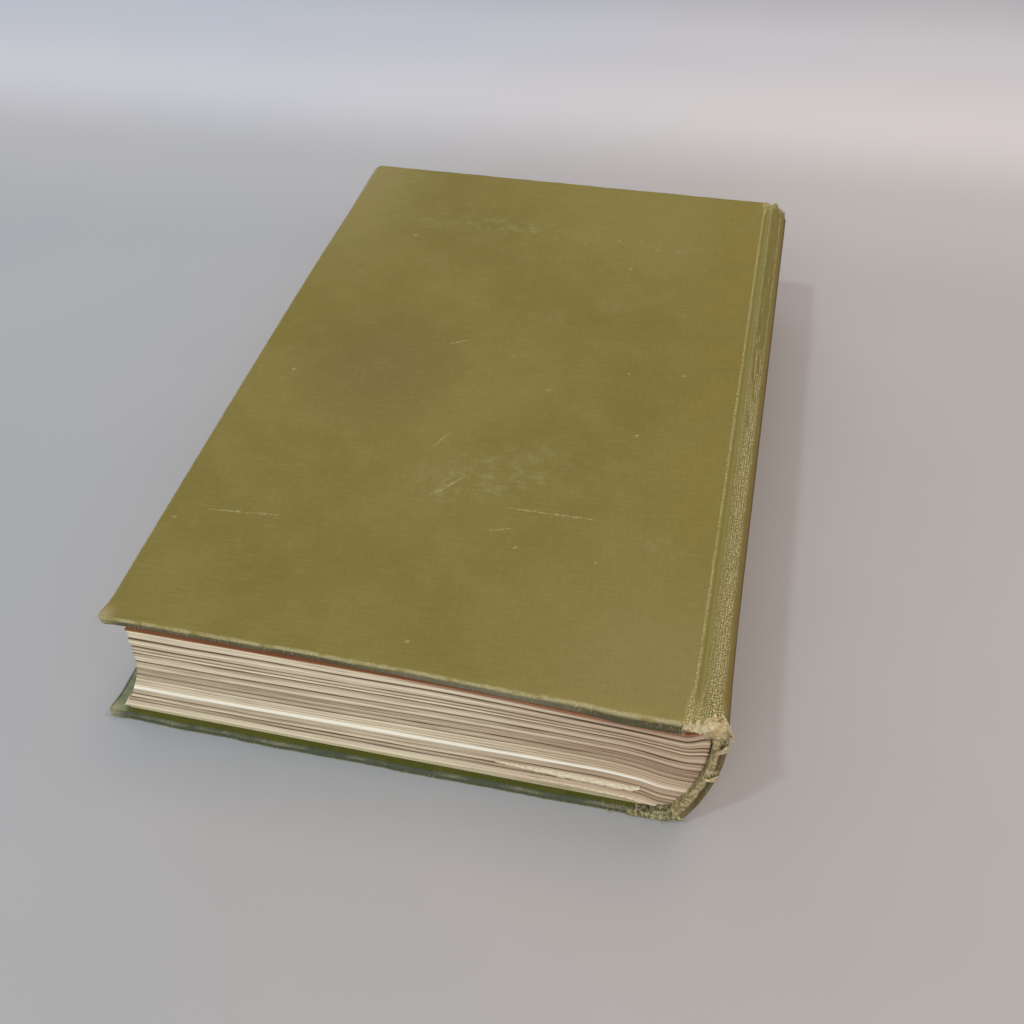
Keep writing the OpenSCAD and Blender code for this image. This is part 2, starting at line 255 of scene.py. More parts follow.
# The outermost leaves, just under the endpapers
cap_s = np.linspace(0.001, 0.999, 70)
caps = []
for t, row, inward_z in ((1.0, -1, -0.08), (0.0, 0, 0.08)):
    x = start_x[row] + (end_x[row] - start_x[row]) * cap_s
    z = leaf_z(t, x) + inward_z
    for y in (0.15 - leaf_half, leaf_half - 0.15):
        caps.append(np.stack([x, 0 * x + y, z], axis=1))
for first in (0, 2 * len(cap_s)):
    for c in range(len(cap_s) - 1):
        a = n_rows * n_cols + first + c
        b = a + len(cap_s)
        faces.append((a, a + 1, b + 1, b) if first == 0 else (a, b, b + 1, a + 1))
points = np.concatenate([wall.reshape(-1, 3)] + caps)
capped = np.zeros(4 * len(cap_s))
marks = {
    "leaf": np.append(np.repeat(row_t, n_cols), capped + 0.06),
    "along": np.append(np.tile(along, n_rows), capped + 900),
    "tone": np.append(np.repeat(np.where(is_plate, 0, tone[row_layer]), n_cols), capped),
    "valley": np.append(np.repeat(depth_of_row, n_cols), capped),
}
leaves = solid("leaves", points, faces, marks)
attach(leaves, "text_block")
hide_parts("text_block")


def tint(r, g, b):
    """A colour as it is seen, from 0 to 255, turned to the linear one that a shader wants."""
    shares = (r / 255, g / 255, b / 255)
    return tuple(c / 12.92 if c <= 0.04045 else ((c + 0.055) / 1.055) ** 2.4 for c in shares) + (1,)


def add(kind, inputs, tree=None, **settings):
    """A node with numbers, colours or outputs of nodes as its inputs, in their tree or in the one given."""
    joined = {key: value for key, value in inputs.items() if isinstance(value, bpy.types.NodeSocket)}
    tree = tree or next(iter(joined.values())).id_data
    node = tree.nodes.new(kind)
    for key, value in settings.items():
        setattr(node, key, value)
    for key, value in inputs.items():
        if key in joined:
            tree.links.new(value, node.inputs[key])
        else:
            node.inputs[key].default_value = value
    return node


def sums(operation, a, b=0.0, c=0.0):
    return add("ShaderNodeMath", {0: a, 1: b, 2: c}, operation=operation).outputs[0]


def scaled(value, by, plus):
    return sums("MULTIPLY_ADD", value, by, plus)


def times(found, *masks):
    for mask in masks:
        found = sums("MULTIPLY", found, mask)
    return found


def between(value, low, high):
    """0 below low, 1 above high and smooth between."""
    inputs = {"Value": value, "From Min": low, "From Max": high}
    return add("ShaderNodeMapRange", inputs, interpolation_type="SMOOTHSTEP").outputs[0]


def blend(share, a, b, how="MIX"):
    return add("ShaderNodeMix", {0: share, 6: a, 7: b}, data_type="RGBA", blend_type=how).outputs[2]


def lay(under, shade, *masks):
    """A colour with another laid over it, where all the masks are and as strongly."""
    return blend(times(*masks), under, tint(*shade))


def mottle(value, low, high, shade, other):
    """One colour where the value is low and another where it is high."""
    return blend(between(value, low, high), tint(*shade), tint(*other))


def ramp(value, stops, how="LINEAR"):
    """A colour for each value, from the colours at some of them."""
    node = add("ShaderNodeValToRGB", {0: value})
    node.color_ramp.interpolation = how
    while len(node.color_ramp.elements) < len(stops):
        node.color_ramp.elements.new(0.5)
    for stop, (place, shade) in zip(node.color_ramp.elements, stops):
        stop.position = place
        stop.color = tint(*shade)
    return node.outputs[0]


def stored(tree, name):
    return add("ShaderNodeAttribute", {}, tree, attribute_name=name).outputs["Fac"]


def noise(place, scale, detail=3.0, rough=0.55):
    inputs = {"Vector": place, "Scale": scale, "Detail": detail, "Roughness": rough}
    return add("ShaderNodeTexNoise", inputs).outputs[0]


def vector(x, y, z=0.0):
    return add("ShaderNodeCombineXYZ", {0: x, 1: y, 2: z}).outputs[0]


def parted(place):
    return add("ShaderNodeSeparateXYZ", {0: place}).outputs


def own_place(tree):
    """The place on the piece, in metres."""
    return add("ShaderNodeTexCoord", {}, tree).outputs["Object"]


def millimetres(tree):
    inputs = {0: own_place(tree), 3: 1000.0}
    return add("ShaderNodeVectorMath", inputs, operation="SCALE").outputs[0]


def material(name, roughness, specular=0.3):
    """A new material: its node tree and its shader."""
    made = bpy.data.materials.new(name)
    made.use_nodes = True
    made.node_tree.nodes.clear()
    inputs = {"Roughness": roughness, "Specular IOR Level": specular}
    shader = add("ShaderNodeBsdfPrincipled", inputs, made.node_tree)
    add("ShaderNodeOutputMaterial", {"Surface": shader.outputs[0]}, target="ALL")
    return made, made.node_tree, shader


def paint(shader, colour, height=None, strength=0.0, depth=0.0):
    """Gives a shader its colour, and a relief that is only in the shading."""
    links = shader.id_data.links
    links.new(colour, shader.inputs["Base Color"])
    if height is not None:
        inputs = {"Height": height, "Strength": strength, "Distance": depth}
        links.new(add("ShaderNodeBump", inputs).outputs[0], shader.inputs["Normal"])


def dress(piece, look):
    piece.data.materials.clear()
    piece.data.materials.append(look)


cream = tint(221, 205, 178)
dull = tint(184, 164, 138)
dark = tint(132, 110, 86)
# Bands of the trimmed faces, from the lowest leaf to the top one: the place of each as a share of the
# thickness, and how pale it is, with about 0 for dark and 1 for cream. The last, darkest band at the top is
# the brown of glue and endpaper, with painted shade under the cover
bands = [
    (0.0, 0.93), (0.018, 0.52), (0.085, 0.8), (0.11, 0.18), (0.13, 0.52), (0.23, 0.58), (0.254, 0.08),
    (0.268, 1.0), (0.303, 1.08), (0.322, 0.93), (0.35, 0.12), (0.372, 0.43), (0.4, 0.82), (0.43, 0.52),
    (0.5, 0.56), (0.548, 0.0), (0.575, 0.94), (0.61, 0.28), (0.655, 0.26), (0.69, 0.89), (0.735, 0.1),
    (0.765, 0.93), (0.8, 0.52), (0.85, 0.52), (0.88, 0.95), (0.914, 0.13), (0.935, 0.89), (0.985, 0.84),
    (0.993, -0.2),
]
shades = [(place, (132 + 100 * pale, 110 + 106 * pale, 86 + 102 * pale)) for place, pale in bands]
paper, tree, shader = material("browned_page_edges", 0.85)
leaf, where, valley, tone = (stored(tree, key) for key in ("leaf", "along", "valley", "tone"))
slow = vector(times(where, 0.02), times(leaf, 14.0))
shift = scaled(noise(slow, 1.0), 0.012, -0.006)
lines = noise(vector(times(where, 0.05), times(leaf, 62.0)), 1.0, 2.0)
banded = blend(between(noise(slow, 1.7), 0.42, 0.75), ramp(sums("ADD", leaf, shift), shades), dull)
lined = blend(between(lines, 0.35, 0.7), banded, blend(0.42, banded, cream))
lined = blend(between(lines, 0.5, 0.28), lined, blend(0.38, lined, dark))
lined = lay(lined, (240, 222, 190), between(tone, 0.0, 1.0), 0.6)
lined = lay(lined, (136, 108, 82), between(tone, 0.0, -1.0), 0.55)
pinker = blend(between(where, 70, 128), (1.09, 1.09, 1.06, 1), (0.87, 0.77, 0.71, 1))
lined = blend(1.0, lined, pinker, "MULTIPLY")
# Red-brown on the topmost leaves from the endpaper, with painted shade under the cover's edge; painted
# shade in the gaps between leaves; and the run of plate paper
painted_shade_under_cover = times(between(leaf, 0.958, 0.966), between(where, 55, 80))
lined = lay(lined, (140, 84, 60), painted_shade_under_cover, 0.85)
# Painted shade, darkest where the gaps between the leaves are deepest
shaded = lay(lined, (80, 55, 36), between(valley, 0.03, 0.35), 0.9)
white_top = sums("SUBTRACT", 0.306, times(between(where, 70, 132), 0.009))
white = times(between(leaf, 0.268, 0.272), between(sums("SUBTRACT", leaf, white_top), 0.002, -0.002))
white = times(white, between(where, 137, 120), sums("SUBTRACT", 1.0, between(where, 150, 160)))
shaded = lay(shaded, (250, 243, 224), white, 0.9)
paint(shader, shaded)
dress(leaves, paper)


# Torn leaves
# The edge of one of the lower leaves is torn and folded out at the tail, and the lowest leaf has curled up.
# Both are the same paper as the rest, less browned where it tore, and still held by the folds at the spine.
def torn_edge(name, xs, low, high, out, seed):
    """A strip of paper that stands out from the trimmed face, from its lower line to its upper one."""
    x = np.linspace(xs[0], xs[-1], 90)
    bottom, top, proud = (np.interp(x, xs, line) for line in (low, high, out))
    ragged = 0.16 * wobble(x, seed, 2.2) + 0.08 * wobble(x, seed + 1, 0.9)
    ragged = ragged * np.minimum(1, (top - bottom) / 1.2)
    around = ((1.0, -0.6), (1.0, 0.75), (0.85, 1.0), (0.4, 0.9), (0.0, 0.7), (0.08, 0.1), (0.15, -0.6))
    rows = []
    for share, stand in around:
        z = bottom + (top - bottom) * share + ragged * (1 - share) + 0.1 * ragged
        y = -leaf_half - proud * stand - 0.06 * wobble(x, seed + 5, 3)
        rows.append(np.stack([x + cover_low[0], y, z], axis=1))
    flat = np.zeros(len(rows) * len(x))
    marks = {"leaf": flat + 0.5, "along": np.tile(x, len(rows)), "valley": flat, "tone": flat + 0.4}
    made = solid(name, np.concatenate(rows), grid_faces(len(rows), len(x)), marks)
    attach(made, "text_block")
    return made


torn = torn_edge("torn_leaf", [90, 97, 106, 114, 119, 122, 124], [8.9, 8.6, 8.0, 7.9, 7.7, 7.9, 9.0],
                 [9.3, 9.5, 9.55, 9.4, 9.3, 9.2, 9.7], [0.2, 0.5, 0.6, 0.6, 0.7, 0.8, 0.4], 21)
curled = torn_edge("curled_leaf", [98, 106, 115, 121, 125, 129], [5.1, 4.9, 4.7, 4.4, 3.9, 3.3],
                   [5.3, 5.15, 4.95, 4.7, 4.25, 3.7], [0.1, 0.3, 0.4, 0.5, 0.7, 0.6], 25)
torn_paper, tree, shader = material("torn_paper", 0.85)
fibres = noise(millimetres(tree), 1.6, 4.0, 0.7)
paint(shader, mottle(fibres, 0.35, 0.65, (206, 186, 152), (234, 218, 186)), fibres, 0.5, 0.0002)
dress(torn, torn_paper)
dress(curled, torn_paper)


# Case cloth
# One sheet of fine-woven olive book cloth, pasted over both boards and the card of the spine, and turned in
# over their edges. It is worn to the bare weave along the joint, the edges and the ends of the spine.
# It is made in three pieces that share their seams, because a piece can only follow one joint.
def arc_points(middle, r, start, end, count):
    a = np.radians(np.linspace(start, end, count))
    return np.stack([middle[0] + r * np.cos(a), middle[1] + r * np.sin(a)], axis=1)


def shoulder_middle(z):
    """The middle of the round at a shoulder, which runs into the round of the spine."""
    return np.array([spine_c[0] + math.sqrt((spine_r - shoulder_r) ** 2 - (z - spine_c[1]) ** 2), z])


crest = 0.5
groove_w = 3.1
groove_d = 1.3
high_c = shoulder_middle(book_t + crest - shoulder_r)
low_c = shoulder_middle(shoulder_r + 0.3)
high_a = math.degrees(math.atan2(*(high_c - spine_c)[::-1]))
low_a = math.degrees(math.atan2(*(low_c - spine_c)[::-1]))
fore_high = cover_low[0]
fore_low = (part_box("bottom_cover_cloth")[0][0]) * 1000
step = np.linspace(0, 1, 25)
groove = groove_d * (1 - np.cos(2 * np.pi * step)) / 2
stretches = [
    [(fore_high, book_t)],
    np.stack([top_ridge - groove_w + groove_w * step, book_t - groove], axis=1),
    np.stack([top_ridge + (high_c[0] - top_ridge) * step[1:], book_t + crest * ease(step[1:])], axis=1),
    arc_points(high_c, shoulder_r, 90, high_a, 24)[1:],
    arc_points(spine_c, spine_r, high_a, low_a, 60)[1:],
    arc_points(low_c, shoulder_r, low_a, -90, 20)[1:],
    np.stack([low_c[0] + (low_ridge - low_c[0]) * step[1:], 0.3 - 0.3 * ease(step[1:])], axis=1),
    np.stack([low_ridge - groove_w * step[1:], groove[1:]], axis=1),
    [(fore_low, 0.0)],
]
outer = np.concatenate(stretches)
travel = np.concatenate([[0], np.cumsum(np.hypot(*np.diff(outer, axis=0).T))])
stretch_ends = [float(travel[k - 1]) for k in np.cumsum([len(points) for points in stretches])]
u_crest, u_shoulder, u_foot, u_sole, u_low, u_low_board, u_end = stretch_ends[2:]
u_board = top_ridge - groove_w - fore_high
seam_high = u_crest + 0.4
seam_low = u_sole + 1.8

# The cloth rounds off what the card and boards under it would leave sharp
fine_u = np.arange(-4, u_end + 4, 0.1)
rounding = np.exp(-(np.arange(-12, 13) ** 2) / (2 * 4.0**2))
rounding /= rounding.sum()
beyond = np.clip(fine_u, 0, u_end)
path = [np.interp(beyond, travel, outer[:, k]) for k in (0, 1)]
path[0] += np.where(fine_u < 0, fine_u, 0) + np.where(fine_u > u_end, u_end - fine_u, 0)
path = [np.convolve(line, rounding, "same") for line in path]


def on_path(u):
    """Points of the case's outer face at places along it, and the directions out of it."""
    u = np.asarray(u, float)
    point = np.stack([np.interp(u, fine_u, line) for line in path], axis=-1)
    ahead = np.stack([np.interp(u + 0.2, fine_u, line) for line in path], axis=-1)
    back = np.stack([np.interp(u - 0.2, fine_u, line) for line in path], axis=-1)
    way = ahead - back
    way /= np.linalg.norm(way, axis=-1, keepdims=True)
    return point, np.stack([-way[..., 1], way[..., 0]], axis=-1)


def wrap_t(u):
    """How thick the case is at its ends, with the cloth that is turned in."""
    places = [0, u_board - 0.3, u_board + 1.0, u_crest - 1, u_crest + 1, u_shoulder,
              (u_shoulder + u_foot) / 2, u_foot, u_sole, u_low - 0.5, u_low_board - 1.0,
              u_low_board + 0.3, u_end]
    thick = [board_wrap, board_wrap, 0.9, 0.9, 1.5, 2.4, 1.7, 1.6, 1.3, 0.9, 0.9, board_wrap, board_wrap]
    return np.interp(u, places, thick)


turn_in = 15.0
board_wrap = 2.5
corner_r = 1.9
rim_r = 0.6
rows_of_cloth = 200
share_y = np.linspace(-1, 1, rows_of_cloth + 1)


def tail_line(u, side):
    """How far the turned edge at the tail (side -1) or head (1) strays from straight, and how it droops."""
    stray = 0.1 * wobble(u, 71 + side, 16) + 0.05 * wobble(u, 81 + side, 5)
    droop = 0.08 * wobble(u, 77 + side, 9)
    if side < 0:
        stray += np.interp(u, [0, 60, 80, 101, 118, 131, u_board, u_crest - 1, u_crest + 1, u_crest + 4],
                           [0, 0, 0.25, 0.68, 0.9, 0.8, 0.8, 0.8, 0.9, 0])
        stray += np.interp(u_end - u, [0, 10, 35, 61, 86, 110, 130], [0, 0.25, 0.45, 0.35, 0.3, 0.2, 0])
        places = [50, 80, 101, 112, 118, 131, u_board + 0.5, u_crest, u_crest + 1.5, u_crest + 4]
        droop += np.interp(u, places, [0, 0.5, 0.7, 1.6, 2.2, 2.8, 1.5, 1.0, 1.2, 0])
    return stray, droop


def bulge(u, v):
    """How far the spine's cloth has crept outward towards the tail."""
    places = [u_crest + 0.5, u_shoulder, u_shoulder + 12, u_shoulder + 18, u_shoulder + 25, u_foot - 1,
              u_foot + 2, u_sole]
    return np.interp(u, places, [0, 1.0, 0.75, 0.6, 0.9, 1.7, 0.7, 0.1]) * np.exp(-(v + half_h) / 16)


def on_case(u, v, d):
    """A point of the case cloth: u along the section, v along the spine, d in from the outer face."""
    point, normal = on_path(u)
    from_end = half_h - np.abs(v)
    stray_t, droop_t = tail_line(u, -1)
    stray_h, droop_h = tail_line(u, 1)
    stray = np.where(v < 0, -stray_t, stray_h) * ease(1 - from_end / 5.0)
    sunk = np.interp(u, [u_crest, u_crest + 1.8, u_shoulder, u_shoulder + 3], [0, 1.7, 0.9, 0])
    sunk = sunk * ease(1 - (half_h - v) / 9)
    droop = np.where(v < 0, droop_t, droop_h) * ease(1 - from_end / 2.5) * np.clip(d / board_wrap, 0.15, 1)
    bow = (0.35 * np.cos(v / 102 * 1.9) - 0.6 * ease((v - 30) / 70)) * hill(u, 0, 14)
    drawn = sum(np.exp(-((u - end) ** 2 + (v + half_h) ** 2) / 3.5**2) for end in (0, u_end))
    filled = 0.9 * np.exp(-((u - u_board - groove_w / 2) ** 2) / 1.6) * ease(1 - (half_h - v) / 10)
    place = point - normal * (d + droop + sunk - bulge(u, v) - filled)[:, None]
    return np.stack([place[:, 0] - bow - 1.0 * drawn, v + stray - 0.3 * drawn, place[:, 1]], axis=1)


def case_cloth(name, starts, ends, corner=None):
    """A piece of the case cloth between two places along it. corner is the end with rounded corners."""
    steps = []
    u = starts
    while u < ends - 1e-6:
        steps.append(u)
        near = min(abs(u - u_board), abs(u - u_crest), abs(u - u_low_board), abs(u - u_sole))
        if near < 4 or u_board < u < u_shoulder + 1:
            u += 0.3
        else:
            u += 0.45 if u_shoulder < u < u_low_board else 1.0
    if ends - steps[-1] < 0.15:
        steps.pop()
    us = np.array(steps + [ends])
    turn = np.radians(np.linspace(0, 90, 9))
    reach_y = half_h - rim_r
    if corner is not None:
        inner = corner + (corner_r - (corner_r - rim_r) * np.cos(turn)) * (1 if corner == starts else -1)
        keep = np.abs(us - corner) > corner_r + 0.2
        us = np.sort(np.concatenate([us[keep], inner]))
    from_end = np.full(len(us), 99.0) if corner is None else np.abs(us - corner)
    bend = np.clip((corner_r - from_end) / (corner_r - rim_r), 0, 1)
    tall = reach_y - (corner_r - rim_r) * (1 - np.sqrt(1 - bend**2))
    away = 0 if corner is None else (-1 if corner == starts else 1)
    n, m = len(us), rows_of_cloth
    face_u = np.repeat(us, m + 1)
    face_v = (tall[:, None] * share_y).ravel()

    # The rim, from the tail round the free end, if there is one, to the head and back
    order = [(i, 0) for i in range(n)]
    order += [(n - 1, j) for j in range(1, m)] * (away > 0)
    order += [(i, m) for i in range(n - 1, -1, -1)]
    order += [(0, j) for j in range(m - 1, 0, -1)] * (away < 0)
    rim = np.array([i * (m + 1) + j for i, j in order])
    out = []
    for i, j in order:
        if 0 < j < m:
            out.append((away, 0.0))
        else:
            out.append((away * bend[i], (-1 if j == 0 else 1) * math.sqrt(1 - bend[i] ** 2)))
    out = np.array(out)

    # Round the edge, down the end and along the turned-in cloth: in from the end, down, and how measured
    turns = np.radians((22, 45, 68, 90))
    profile = [(rim_r * (1 - math.sin(a)), rim_r * (1 - math.cos(a)), 0) for a in turns]
    profile += [(0, 0.3, 1), (0, 0.65, 1)]
    profile += [(rim_r * (1 - math.cos(a)), -rim_r * (1 - math.sin(a)), 2) for a in turns]
    profile += [(1.1, 1.0, 3), (2.0, 1.0, 3), (3.6, 1.0, 3), (5.0, 0.8, 3)]
    profile += [(6.5, 0, 2), (8, 0, 2), (11.5, 0, 2), (14.2, 0, 2), (turn_in, 0.2, 2)]

    edge_face = np.minimum(reach_y + rim_r - np.abs(face_v), 60)
    base_u, base_v = face_u[rim] + rim_r * out[:, 0], face_v[rim] + rim_r * out[:, 1]
    room = np.full(len(rim), 99.0)
    if away:
        edge_face = np.minimum(edge_face, np.abs(face_u - corner))
        into_u = np.maximum(corner_r - np.abs(face_u - corner), 0)
        into_v = np.maximum(corner_r - (half_h - np.abs(face_v)), 0)
        corner_d = corner_r - np.hypot(into_u, into_v)
        edge_face = np.minimum(edge_face, np.where(corner_d < corner_r - 1e-6, corner_d, 60))
        straight_u = np.abs(out[:, 0]) < 0.01
        straight_v = np.abs(out[:, 1]) < 0.01
        room = np.where(straight_u, np.abs(base_u - corner), room)
        room = np.where(straight_v, half_h - np.abs(base_v), room)
        room = np.where(~straight_u & ~straight_v, corner_r, room)
        room = np.maximum(room, corner_r)
    t = wrap_t(base_u)
    tucked = ease((base_u - u_crest - 2) / 3) * ease((u_sole - 1 - base_u) / 3) * (out[:, 1] < 0)
    tucked *= np.maximum(2.3 + bulge(base_u, -half_h) - t, 0)
    # Of each point: its u, v and depth, how far it is past the edge, and where it was on the flat cloth
    parts = [(face_u, face_v, 0 * face_u, -edge_face, face_u, face_v)]
    run = 0.0
    last = (rim_r, 0.0)
    for inset, part, kind in profile:
        at_end = t + tucked * (inset < 1)
        depth = (part + 0 * t, rim_r + (at_end - 2 * rim_r) * part, at_end + part, t + part * tucked)[kind]
        depth = np.where(t < 2 * rim_r, np.clip(depth, 0, t), depth)
        mean_depth = (part, rim_r + (board_wrap - 2 * rim_r) * part, board_wrap + part, board_wrap)[kind]
        run += math.hypot(inset - last[0], mean_depth - last[1])
        last = (inset, mean_depth)
        inset_now = np.minimum(inset, room)
        ring = (base_u - inset_now * out[:, 0], base_v - inset_now * out[:, 1], depth)
        flat = (face_u[rim] + run * out[:, 0], face_v[rim] + run * out[:, 1])
        parts.append((*ring, np.full(len(rim), run - rim_r), *flat))
    u, v, d, edge, flat_u, flat_v = (np.concatenate(part) for part in zip(*parts))

    xyz = on_case(u, v, d)
    faces = grid_faces(n, m + 1)
    count = len(rim)
    rings = [rim] + [len(face_u) + k * count + np.arange(count) for k in range(len(profile))]
    gaps = [n - 1] * (away <= 0) + [count - 1] * (away >= 0)
    for a, b in zip(rings, rings[1:]):
        for k in range(count):
            if k not in gaps:
                l = (k + 1) % count
                faces.append((a[k], b[k], b[l], a[l]))
    over = on_path(u)[0][:, 0] - fore_high
    return solid(name, xyz, faces, {"edge": edge, "cloth_u": flat_u, "cloth_v": flat_v, "cloth_x": over})


top_cloth = case_cloth("cloth_top", 0.0, seam_high, corner=0.0)
spine_piece = case_cloth("cloth_spine", seam_high, seam_low)
low_cloth = case_cloth("cloth_bottom", seam_low, u_end, corner=u_end)
cloths = ((top_cloth, "top_cover_cloth", "cover_cloth"), (spine_piece, "spine_cloth", "spine_cloth"),
          (low_cloth, "bottom_cover_cloth", "under_cloth"))
for piece, node, slot in cloths:
    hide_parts(node)
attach(spine_piece, "text_block")
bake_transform(top_cloth)
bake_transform(low_cloth)


def group(name, inputs, output):
    """A node group with numbers or places as inputs and one mask as its output."""
    made = bpy.data.node_groups.new(name, "ShaderNodeTree")
    for key, kind in inputs:
        made.interface.new_socket(key, in_out="INPUT", socket_type=kind)
    made.interface.new_socket(output, in_out="OUTPUT", socket_type="NodeSocketFloat")
    return made, made.nodes.new("NodeGroupInput").outputs, made.nodes.new("NodeGroupOutput").inputs


VECTOR, NUMBER = "NodeSocketVector", "NodeSocketFloat"
weave, given, result = group("plain_weave", (("Place", VECTOR), ("Pitch", NUMBER)), "Height")
inputs = {0: given[0], 3: sums("DIVIDE", 3.14159, given[1])}
parts = parted(add("ShaderNodeVectorMath", inputs, operation="SCALE").outputs[0])
bumps = times(sums("SINE", parts[0]), sums("SINE", parts[1]))
weave.links.new(sums("ABSOLUTE", bumps), result[0])

slub, given, result = group("thread_streaks", (("Place", VECTOR), ("Thread", NUMBER)), "Mask")
parts = parted(given[0])
long_u = vector(times(parts[0], 0.16), sums("DIVIDE", parts[1], given[1]))
long_v = vector(sums("DIVIDE", parts[0], given[1]), times(parts[1], 0.16), 7.0)
streaks = scaled(noise(long_u, 1.0, 1.0), 0.6, times(noise(long_v, 1.0, 1.0), 0.4))
slub.links.new(streaks, result[0])

mark_inputs = [("Place", VECTOR), ("Middle", VECTOR)]
mark_inputs += [(key, NUMBER) for key in ("Length", "Width", "Turn", "Ragged")]
mark, given, result = group("rubbed_mark", mark_inputs, "Mask")
bent = scaled(noise(given[0], 0.35, 4.0), given[5], times(given[5], -0.5))
local = add("ShaderNodeVectorMath", {0: given[0], 1: given[1]}, operation="SUBTRACT").outputs[0]
inputs = {"Vector": local, "Angle": times(given[4], -1.0)}
parts = parted(add("ShaderNodeVectorRotate", inputs, rotation_type="Z_AXIS").outputs[0])
away_l = sums("POWER", sums("DIVIDE", parts[0], given[2]), 2.0)
away_w = sums("POWER", sums("DIVIDE", sums("ADD", parts[1], bent), given[3]), 2.0)
within = sums("SUBTRACT", 1.0, sums("ADD", away_l, away_w))
mark.links.new(sums("MAXIMUM", within, 0.0), result[0])


def grouped(made, *values):
    return add("ShaderNodeGroup", dict(enumerate(values)), node_tree=made).outputs[0]


def strip(value, low, high, soft):
    """1 from low to high, with soft ends."""
    return times(between(value, low - soft, low + soft), between(value, high + soft, high - soft))


def any_of(found, *masks):
    for mask in masks:
        found = sums("MAXIMUM", found, mask)
    return found


look, tree, shader = material("book_cloth", 0.82, 0.2)
u, v, edge, x = (stored(tree, key) for key in ("cloth_u", "cloth_v", "edge", "cloth_x"))
place = vector(u, v)
cloud = noise(place, 0.022, 3.0)
patch = noise(place, 0.09, 4.0, 0.6)
grit = noise(place, 0.8, 4.0, 0.7)
streaky = noise(vector(u, times(v, 0.25)), 0.6, 4.0, 0.6)
threads = grouped(slub, place, 0.55)
uneven = add("ShaderNodeTexNoise", {"Vector": place, "Scale": 1.1, "Detail": 2.0}).outputs["Color"]
inputs = {0: uneven, 1: (1.3, 1.3, 0), 2: place}
pulled = add("ShaderNodeVectorMath", inputs, operation="MULTIPLY_ADD").outputs[0]
woven = grouped(weave, pulled, 0.62)

# The top cover's olive: paler at the right and where it faded at the far left, ochre by the joint, and a
# brown patch at the left
olive = mottle(cloud, 0.3, 0.7, (123, 111, 54), (131, 118, 62))
olive = lay(olive, (138, 123, 72), between(patch, 0.45, 0.75), 0.3)
olive = lay(olive, (138, 124, 66), between(u, 30, 90), between(v, 30, 95), 0.6)
olive = lay(olive, (140, 124, 72), between(u, 70, 125), between(v, -40, -95), 0.8)
olive = lay(olive, (141, 128, 78), between(u, 30, 0), between(v, 20, 100))
ochre = times(strip(u, u_board - 14, u_board + 2, 9), between(patch, 0.3, 0.6), between(v, -90, -30))
olive = lay(olive, (134, 114, 50), ochre, 0.6)
olive = lay(olive, (119, 103, 58), grouped(mark, place, (34, -4, 0), 26.0, 30.0, 0.4, 10.0), 0.6)
side = mottle(patch, 0.35, 0.65, (108, 90, 50), (90, 76, 44))
on_low = between(u, u_sole, u_sole + 2)
colour = lay(olive, (128, 108, 56), between(x, 138.6, 139.4))
colour = blend(between(u, u_shoulder - 1.2, u_shoulder + 0.6), colour, side)
colour = lay(colour, (92, 96, 42), on_low)

# The turned edges, darkened by handling, and the less faded cloth inside them
edge_tint = mottle(patch, 0.35, 0.65, (84, 78, 54), (106, 98, 72))
edge_tint = lay(edge_tint, (116, 110, 88), strip(u, 66, 106, 10), 0.8)
edge_tint = lay(edge_tint, (76, 80, 62), on_low)
roll = mottle(patch, 0.35, 0.65, (84, 72, 46), (66, 56, 38))
roll = lay(roll, (124, 110, 74), between(u, u_foot - 14, u_foot - 2), 0.7)
on_spine = strip(u, u_crest + 2, u_sole + 0.5, 1.0)
colour = blend(between(edge, 0.3, 0.75), colour, blend(on_spine, edge_tint, roll))
past_edge = scaled(on_spine, 1.75, scaled(grit, 0.5, edge))
fore_edge = times(between(u, u_end - 6, u_end - 3), on_low)
lining = mottle(patch, 0.3, 0.7, (80, 82, 22), (90, 90, 32))
lining = blend(fore_edge, lining, mottle(patch, 0.35, 0.6, (92, 104, 76), (128, 134, 104)))
lining = blend(on_spine, lining, mottle(grit, 0.4, 0.6, (118, 104, 66), (184, 166, 122)))
colour = blend(between(past_edge, 2.85, 3.2), colour, lining)
colour = lay(colour, (70, 62, 26), between(threads, 0.55, 0.35), 0.08)
colour = lay(colour, (168, 156, 104), between(threads, 0.52, 0.68), 0.09)

# Where the colour is rubbed off: the sharp edges, the fore corners, the joint and the breaks of the roll
off_arris = sums("ABSOLUTE", scaled(grit, 0.9, sums("ADD", edge, -0.45)))
arris = times(between(off_arris, 0.75, 0.1), between(noise(place, 0.25, 4.0, 0.65), 0.3, 0.55))
arris = times(arris, scaled(on_spine, -0.9, 1.0))
low_arris = times(strip(edge, 1.7, 2.6, 0.3), on_low, between(patch, 0.4, 0.65))
arris = any_of(arris, times(low_arris, 0.5))
at_corner = any_of(between(u, 4.5, 1.0), between(u, u_end - 5, u_end - 1))
corners = times(between(v, -97.5, -101.5), at_corner)
rubbed = any_of(arris, times(corners, 0.8))
colour = lay(colour, (184, 171, 134), rubbed, scaled(woven, 0.6, 0.3))

to_tail = between(v, -90, -102)
ripple = scaled(streaky, 0.7, -0.35)
rippled = sums("ADD", x, ripple)
over_joint = between(u, u_shoulder + 1.2, u_shoulder + 0.2)
along_1 = sums("ADD", scaled(to_tail, 0.7, x), ripple)
line_1 = times(strip(along_1, 132.7, 133.35, 0.25), between(grit, 0.3, 0.5))
along_2 = sums("ADD", scaled(to_tail, 1.1, x), ripple)
line_2 = times(strip(along_2, 135.0, 135.6, 0.3), between(grit, 0.28, 0.45))
line_3 = times(strip(rippled, 138.3, 138.7, 0.2), between(grit, 0.35, 0.55))
thin_lines = noise(vector(x, times(v, 0.035)), 2.2, 2.0, 0.5)
low_band = scaled(between(v, -70, 70), 0.4, 0.2)
band = strip(scaled(ripple, 2.0, x), 135.6, 138.6, 0.5)
band = times(band, between(thin_lines, low_band, sums("ADD", low_band, 0.12)))
ragged_v = scaled(ripple, 4.0, v)
